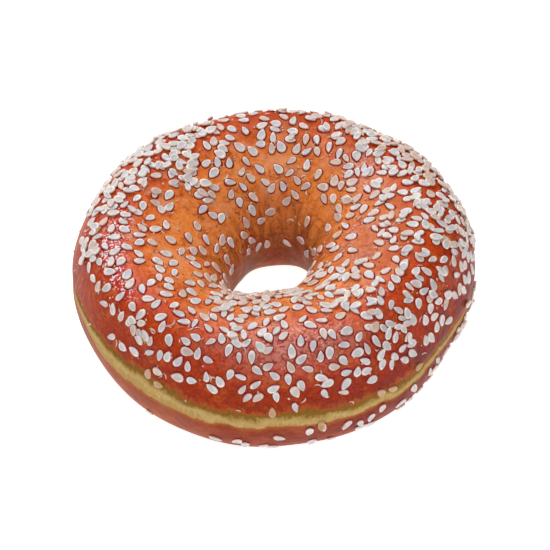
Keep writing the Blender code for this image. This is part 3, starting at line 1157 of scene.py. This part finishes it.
class BAGEL_OT_pool_glaze(bpy.types.Operator):
    """Draws the glaze up round each seed's foot as a low dark rim, which partly stands in for the seed's
    contact shadow as painted shade
    """

    bl_idname = "bagel.pool_glaze"
    bl_label = "Pool glaze"

    def execute(self, context):
        sizes = context.scene.bagel_sizes
        let_go()
        bpy.ops.mesh.primitive_uv_sphere_add(segments=SEED_SIDES, ring_count=4, radius=0.5)
        pattern = context.object
        for vertex in pattern.data.vertices:
            narrowing = 1.0 - SEED_POINTEDNESS * 2.0 * vertex.co.x
            vertex.co.x *= POOL_REACH
            vertex.co.y *= (SEED_WIDTH + POOL_REACH - 1.0) * narrowing
            vertex.co.z *= POOL_HEIGHT / SEED_THICKNESS
        matrices = []
        for place in all_places(sizes):
            if place.lift == 0.0:
                place.tilt = 0.0
                place.lift = -SEED_RISE * SEED_THICKNESS
                matrices.append(seed_matrix(place, sizes.seed_length))
        piece = join_copies("glaze_pools_and_shade", pattern, matrices, [0.5] * len(matrices))
        finish = Finish("pooled_glaze_and_shade")
        blots = finish.noise(0.004, 2.0, 0.6)
        finish.set(
            Base_Color=finish.ramp(blots, (0.3, POOL_RED_AND_SHADE), (0.7, POOL_BROWN_AND_SHADE)),
            Roughness=0.35,
            Specular_IOR_Level=0.3,
            Coat_Weight=0.4,
            Coat_Roughness=0.15,
        )
        piece.data.materials.append(finish.material)
        hand_over(piece)
        return {"FINISHED"}


# --- Hulls, crumbs and specks --------------------------------------------------------------------------

BIT_ZONE = (math.radians(6.0), math.radians(175.0))  # section angles
BIT_TILT = math.radians(30.0)
BIT_LIFT = 0.00012


def scatter_bits(crust, draw, count):
    """Places for loose bits on the crust, most of them where the seeds are."""
    largest_patch = patch_limit(crust)
    places = []
    while len(places) < count:
        ring = draw.uniform(0.0, 2.0 * math.pi)
        section = draw.uniform(*BIT_ZONE)
        spot = crust.frame(ring, section)
        chance = 0.3 + 0.7 * seed_chance(ring, section, spot[0].z)
        if draw.random() > spot[3] / largest_patch * chance:
            continue
        place = Place(ring, section, spot, draw)
        place.tilt = BIT_TILT
        places.append(place)
    return places


def sliver_pattern():
    """A curled strip of seed hull, of unit length."""
    let_go()
    bpy.ops.mesh.primitive_uv_sphere_add(
        segments=6, ring_count=7, radius=0.5, rotation=(0.0, math.radians(90.0), 0.0)
    )
    sliver = bpy.context.object
    bpy.ops.object.transform_apply(location=False, rotation=True, scale=False)
    for vertex in sliver.data.vertices:
        vertex.co.y = 0.20 * vertex.co.y + 0.9 * vertex.co.x ** 2
        vertex.co.z = 0.4 * vertex.co.z + 0.5 * vertex.co.x ** 2
    return sliver


def bit_pattern():
    """A broken corner of a seed, of unit length."""
    let_go()
    bpy.ops.mesh.primitive_ico_sphere_add(subdivisions=1, radius=0.5)
    bit = bpy.context.object
    draw = random.Random(5)
    for vertex in bit.data.vertices:
        vertex.co = [value * draw.uniform(0.6, 1.2) for value in vertex.co]
    return bit


BITS = (  # name, pattern, how many, lengths, thickness and colour
    ("sesame_hulls", sliver_pattern, 260, (0.0011, 0.0024), 0.0007, paint(244, 216, 206)),
    ("sesame_corners", bit_pattern, 380, (0.0003, 0.0009), 0.0005, paint(240, 206, 190)),
    ("scorched_specks", bit_pattern, 26, (0.0003, 0.0006), 0.0004, paint(38, 20, 14)),
)


class BAGEL_OT_scatter_bits(bpy.types.Operator):
    """Scatters curled hulls, broken seed corners and a few scorched specks"""

    bl_idname = "bagel.scatter_bits"
    bl_label = "Scatter bits"

    def execute(self, context):
        crust = Crust(context.scene.bagel_sizes)
        draw = random.Random(RANDOM_SEED + 5)
        for name, make_pattern, count, lengths, thickness, colour in BITS:
            pattern = make_pattern()
            matrices = []
            for place in scatter_bits(crust, draw, count):
                length = draw.uniform(*lengths)
                matrices.append(laid(place, BIT_LIFT, length, length, thickness))
            piece = join_copies(name, pattern, matrices, [draw.random() for _ in matrices])
            finish = Finish(name)
            darker = tinted(colour, 0.7, 0.7, 0.7)
            cloud = finish.noise(0.0008, 2.0, 0.6)
            finish.set(Base_Color=finish.ramp(cloud, (0.35, darker), (0.65, colour)), Roughness=0.5)
            piece.data.materials.append(finish.material)
            hand_over(piece)
        return {"FINISHED"}


# --- The stage -----------------------------------------------------------------------------------------

TABLE_SIZE = 4.0
TABLE_DROP = 0.00005  # below the base, so that the two don't share a plane
LOOK_AT = Vector((0.0, 0.0, 0.018))
CAMERA_AIM = Vector((-0.00015, 0.0, 0.018))
CAMERA_LENS = 170.86
CAMERA_SHIFT = (0.0037, 0.0084)


def add_lamp(name, size, power, distance, round_degrees, height_degrees):
    """A square soft lamp that looks at the bagel's middle from a given direction."""
    bpy.ops.object.light_add(type="AREA")
    lamp = bpy.context.object
    lamp.name = name
    lamp.data.shape = "SQUARE"
    lamp.data.size = size
    lamp.data.energy = power
    turn, climb = math.radians(round_degrees), math.radians(height_degrees)
    flat = math.cos(climb)
    way = Vector((flat * math.cos(turn), flat * math.sin(turn), math.sin(climb)))
    lamp.location = LOOK_AT + way * distance
    lamp.rotation_euler = way.to_track_quat("Z", "Y").to_euler()


def add_table(glow):
    """A large pale plane that glows by itself."""
    let_go()
    bpy.ops.mesh.primitive_plane_add(size=TABLE_SIZE, location=(0.0, 0.0, -TABLE_DROP))
    table = bpy.context.object
    table.name = table.data.name = "light_table"
    bpy.ops.object.transform_apply(location=True, rotation=True, scale=True)
    finish = Finish("light_table")
    grain = finish.noise(0.02, 2.0, 0.5)
    finish.set(
        Base_Color=finish.ramp(grain, (0.3, grey(0.68)), (0.7, grey(0.72))),
        Roughness=0.6,
        Emission_Color=grey(1.0),
        Emission_Strength=glow,
    )
    table.data.materials.append(finish.material)


def add_sky(strength):
    world = bpy.data.worlds.new("white_surroundings")
    world.use_nodes = True
    sky = world.node_tree.nodes["Background"]
    sky.inputs["Color"].default_value = (1.0, 1.0, 1.0, 1.0)
    sky.inputs["Strength"].default_value = strength
    bpy.context.scene.world = world


def add_camera(height_angle, distance):
    towards = Vector((0.0, -math.cos(height_angle), math.sin(height_angle)))
    bpy.ops.object.camera_add(location=CAMERA_AIM + distance * towards)
    camera = bpy.context.object
    camera.name = "camera"
    camera.rotation_euler = (math.radians(90.0) - height_angle, 0.0, 0.0)
    camera.data.sensor_width = 36.0
    camera.data.lens = CAMERA_LENS
    camera.data.shift_x, camera.data.shift_y = CAMERA_SHIFT
    camera.data.clip_start = 0.01
    bpy.context.scene.camera = camera


class BAGEL_OT_set_stage(bpy.types.Operator):
    """Sets up the light table, the white surroundings, the lamps and the camera"""

    bl_idname = "bagel.set_stage"
    bl_label = "Set stage"

    def execute(self, context):
        stage = context.scene.bagel_stage
        add_table(stage.table_glow)
        let_go()
        add_lamp(
            "back_lamp", size=0.60, power=stage.back_light,
            distance=0.9, round_degrees=115.0, height_degrees=42.0,
        )
        add_lamp(
            "front_lamp", size=1.0, power=stage.front_light,
            distance=1.1, round_degrees=284.0, height_degrees=66.0,
        )
        add_sky(stage.sky)
        add_camera(stage.camera_height, stage.camera_distance)
        context.scene.view_settings.view_transform = "Standard"
        return {"FINISHED"}


class BAGEL_PT_panel(bpy.types.Panel):
    """Lists the bagel's sizes, colours and steps"""

    bl_label = "Sesame Bagel"
    bl_idname = "BAGEL_PT_panel"
    bl_space_type = "VIEW_3D"
    bl_region_type = "UI"
    bl_category = "Bagel"

    def draw(self, context):
        for group in (context.scene.bagel_sizes, context.scene.bagel_colours, context.scene.bagel_stage):
            box = self.layout.box()
            for name in group.__annotations__:
                box.prop(group, name)
        for step in STEPS:
            self.layout.operator(step.bl_idname)


STEPS = (
    BAGEL_OT_shape_crust,
    BAGEL_OT_sprinkle_sesame,
    BAGEL_OT_pool_glaze,
    BAGEL_OT_scatter_bits,
    BAGEL_OT_set_stage,
)
GROUPS = (BAGEL_PG_sizes, BAGEL_PG_colours, BAGEL_PG_stage)


def register():
    for group in (*GROUPS, *STEPS, BAGEL_PT_panel):
        bpy.utils.register_class(group)
    bpy.types.Scene.bagel_sizes = PointerProperty(type=BAGEL_PG_sizes)
    bpy.types.Scene.bagel_colours = PointerProperty(type=BAGEL_PG_colours)
    bpy.types.Scene.bagel_stage = PointerProperty(type=BAGEL_PG_stage)


def unregister():
    del bpy.types.Scene.bagel_sizes
    del bpy.types.Scene.bagel_colours
    del bpy.types.Scene.bagel_stage
    for group in reversed((*GROUPS, *STEPS, BAGEL_PT_panel)):
        bpy.utils.unregister_class(group)


def main():
    register()
    bpy.ops.bagel.shape_crust()
    bpy.ops.bagel.sprinkle_sesame()
    bpy.ops.bagel.pool_glaze()
    bpy.ops.bagel.scatter_bits()
    bpy.ops.bagel.set_stage()


if __name__ == "__main__":
    main()
